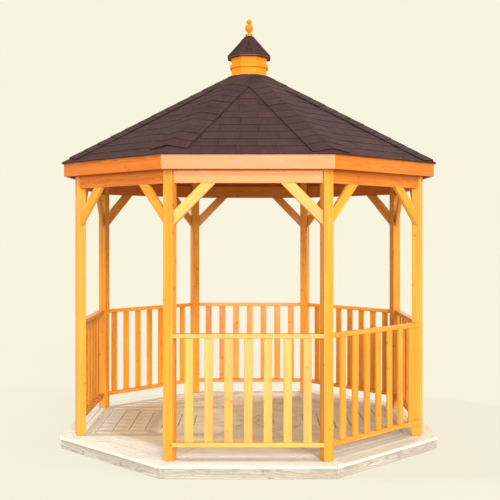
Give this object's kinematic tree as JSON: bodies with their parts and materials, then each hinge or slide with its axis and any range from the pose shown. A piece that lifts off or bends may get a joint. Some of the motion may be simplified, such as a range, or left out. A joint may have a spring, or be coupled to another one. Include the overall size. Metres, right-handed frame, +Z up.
{
  "type": "garden gazebo",
  "caption": "Open octagonal timber garden gazebo with a low deck, railed bays, braced header beams, a shingled pyramid roof and a small cupola with a turned finial.",
  "frame": {"origin": "on the ground under the middle of the deck", "axes": "+Z up; the front bay faces -Y, the bay on its left (towards -X, -Y) is the entrance; +X to the right seen from the front"},
  "size_m": [3.658, 3.658, 4.334],
  "materials": {
    "deck_boards": "matt, bare pale boards",
    "rim_timber": "matt, weathered grey-beige",
    "floor_framing": "matt, rough sawn",
    "posts": "satin, honey orange stain",
    "beams": "satin, honey orange stain",
    "braces": "satin, honey orange stain",
    "railings": "satin, honey orange stain",
    "fascia": "satin, honey orange stain",
    "roof_boards": "matt, planed boards",
    "rafters": "satin, honey orange stain",
    "shingles": "rough mineral granules on bitumen, dark brown",
    "cupola_timber": "satin, honey orange stain",
    "finial_timber": "satin, honey orange stain",
    "fixings": "dull zinc"
  },
  "bodies": {
    "root": {"deck_floor": "deck_boards", "rim_main_sides": "rim_timber", "rim_diagonal_sides": "rim_timber", "floor_hub": "floor_framing", "floor_joists": "floor_framing", "post_front_right": "posts", "post_right_front": "posts", "post_right_back": "posts", "post_back_right": "posts", "post_back_left": "posts", "post_left_back": "posts", "post_left_front": "posts", "post_front_left": "posts", "beam_front": "beams", "beam_front_right": "beams", "beam_right": "beams", "beam_back_right": "beams", "beam_back": "beams", "beam_back_left": "beams", "beam_left": "beams", "beam_front_left": "beams", "braces_front": "braces", "braces_front_right": "braces", "braces_right": "braces", "braces_back_right": "braces", "braces_back": "braces", "braces_back_left": "braces", "braces_left": "braces", "braces_front_left": "braces", "railing_front": "railings", "railing_front_right": "railings", "railing_right": "railings", "railing_back_right": "railings", "railing_back": "railings", "railing_back_left": "railings", "railing_left": "railings", "fascia_main_sides": "fascia", "fascia_diagonal_sides": "fascia", "roof_main_sides": "roof_boards", "roof_diagonal_sides": "roof_boards", "hip_rafters": "rafters", "roof_hub": "rafters", "cupola_body": "cupola_timber", "cupola_moulding": "cupola_timber", "cupola_roof": "shingles", "finial": "finial_timber"}
  },
  "joints": []
}
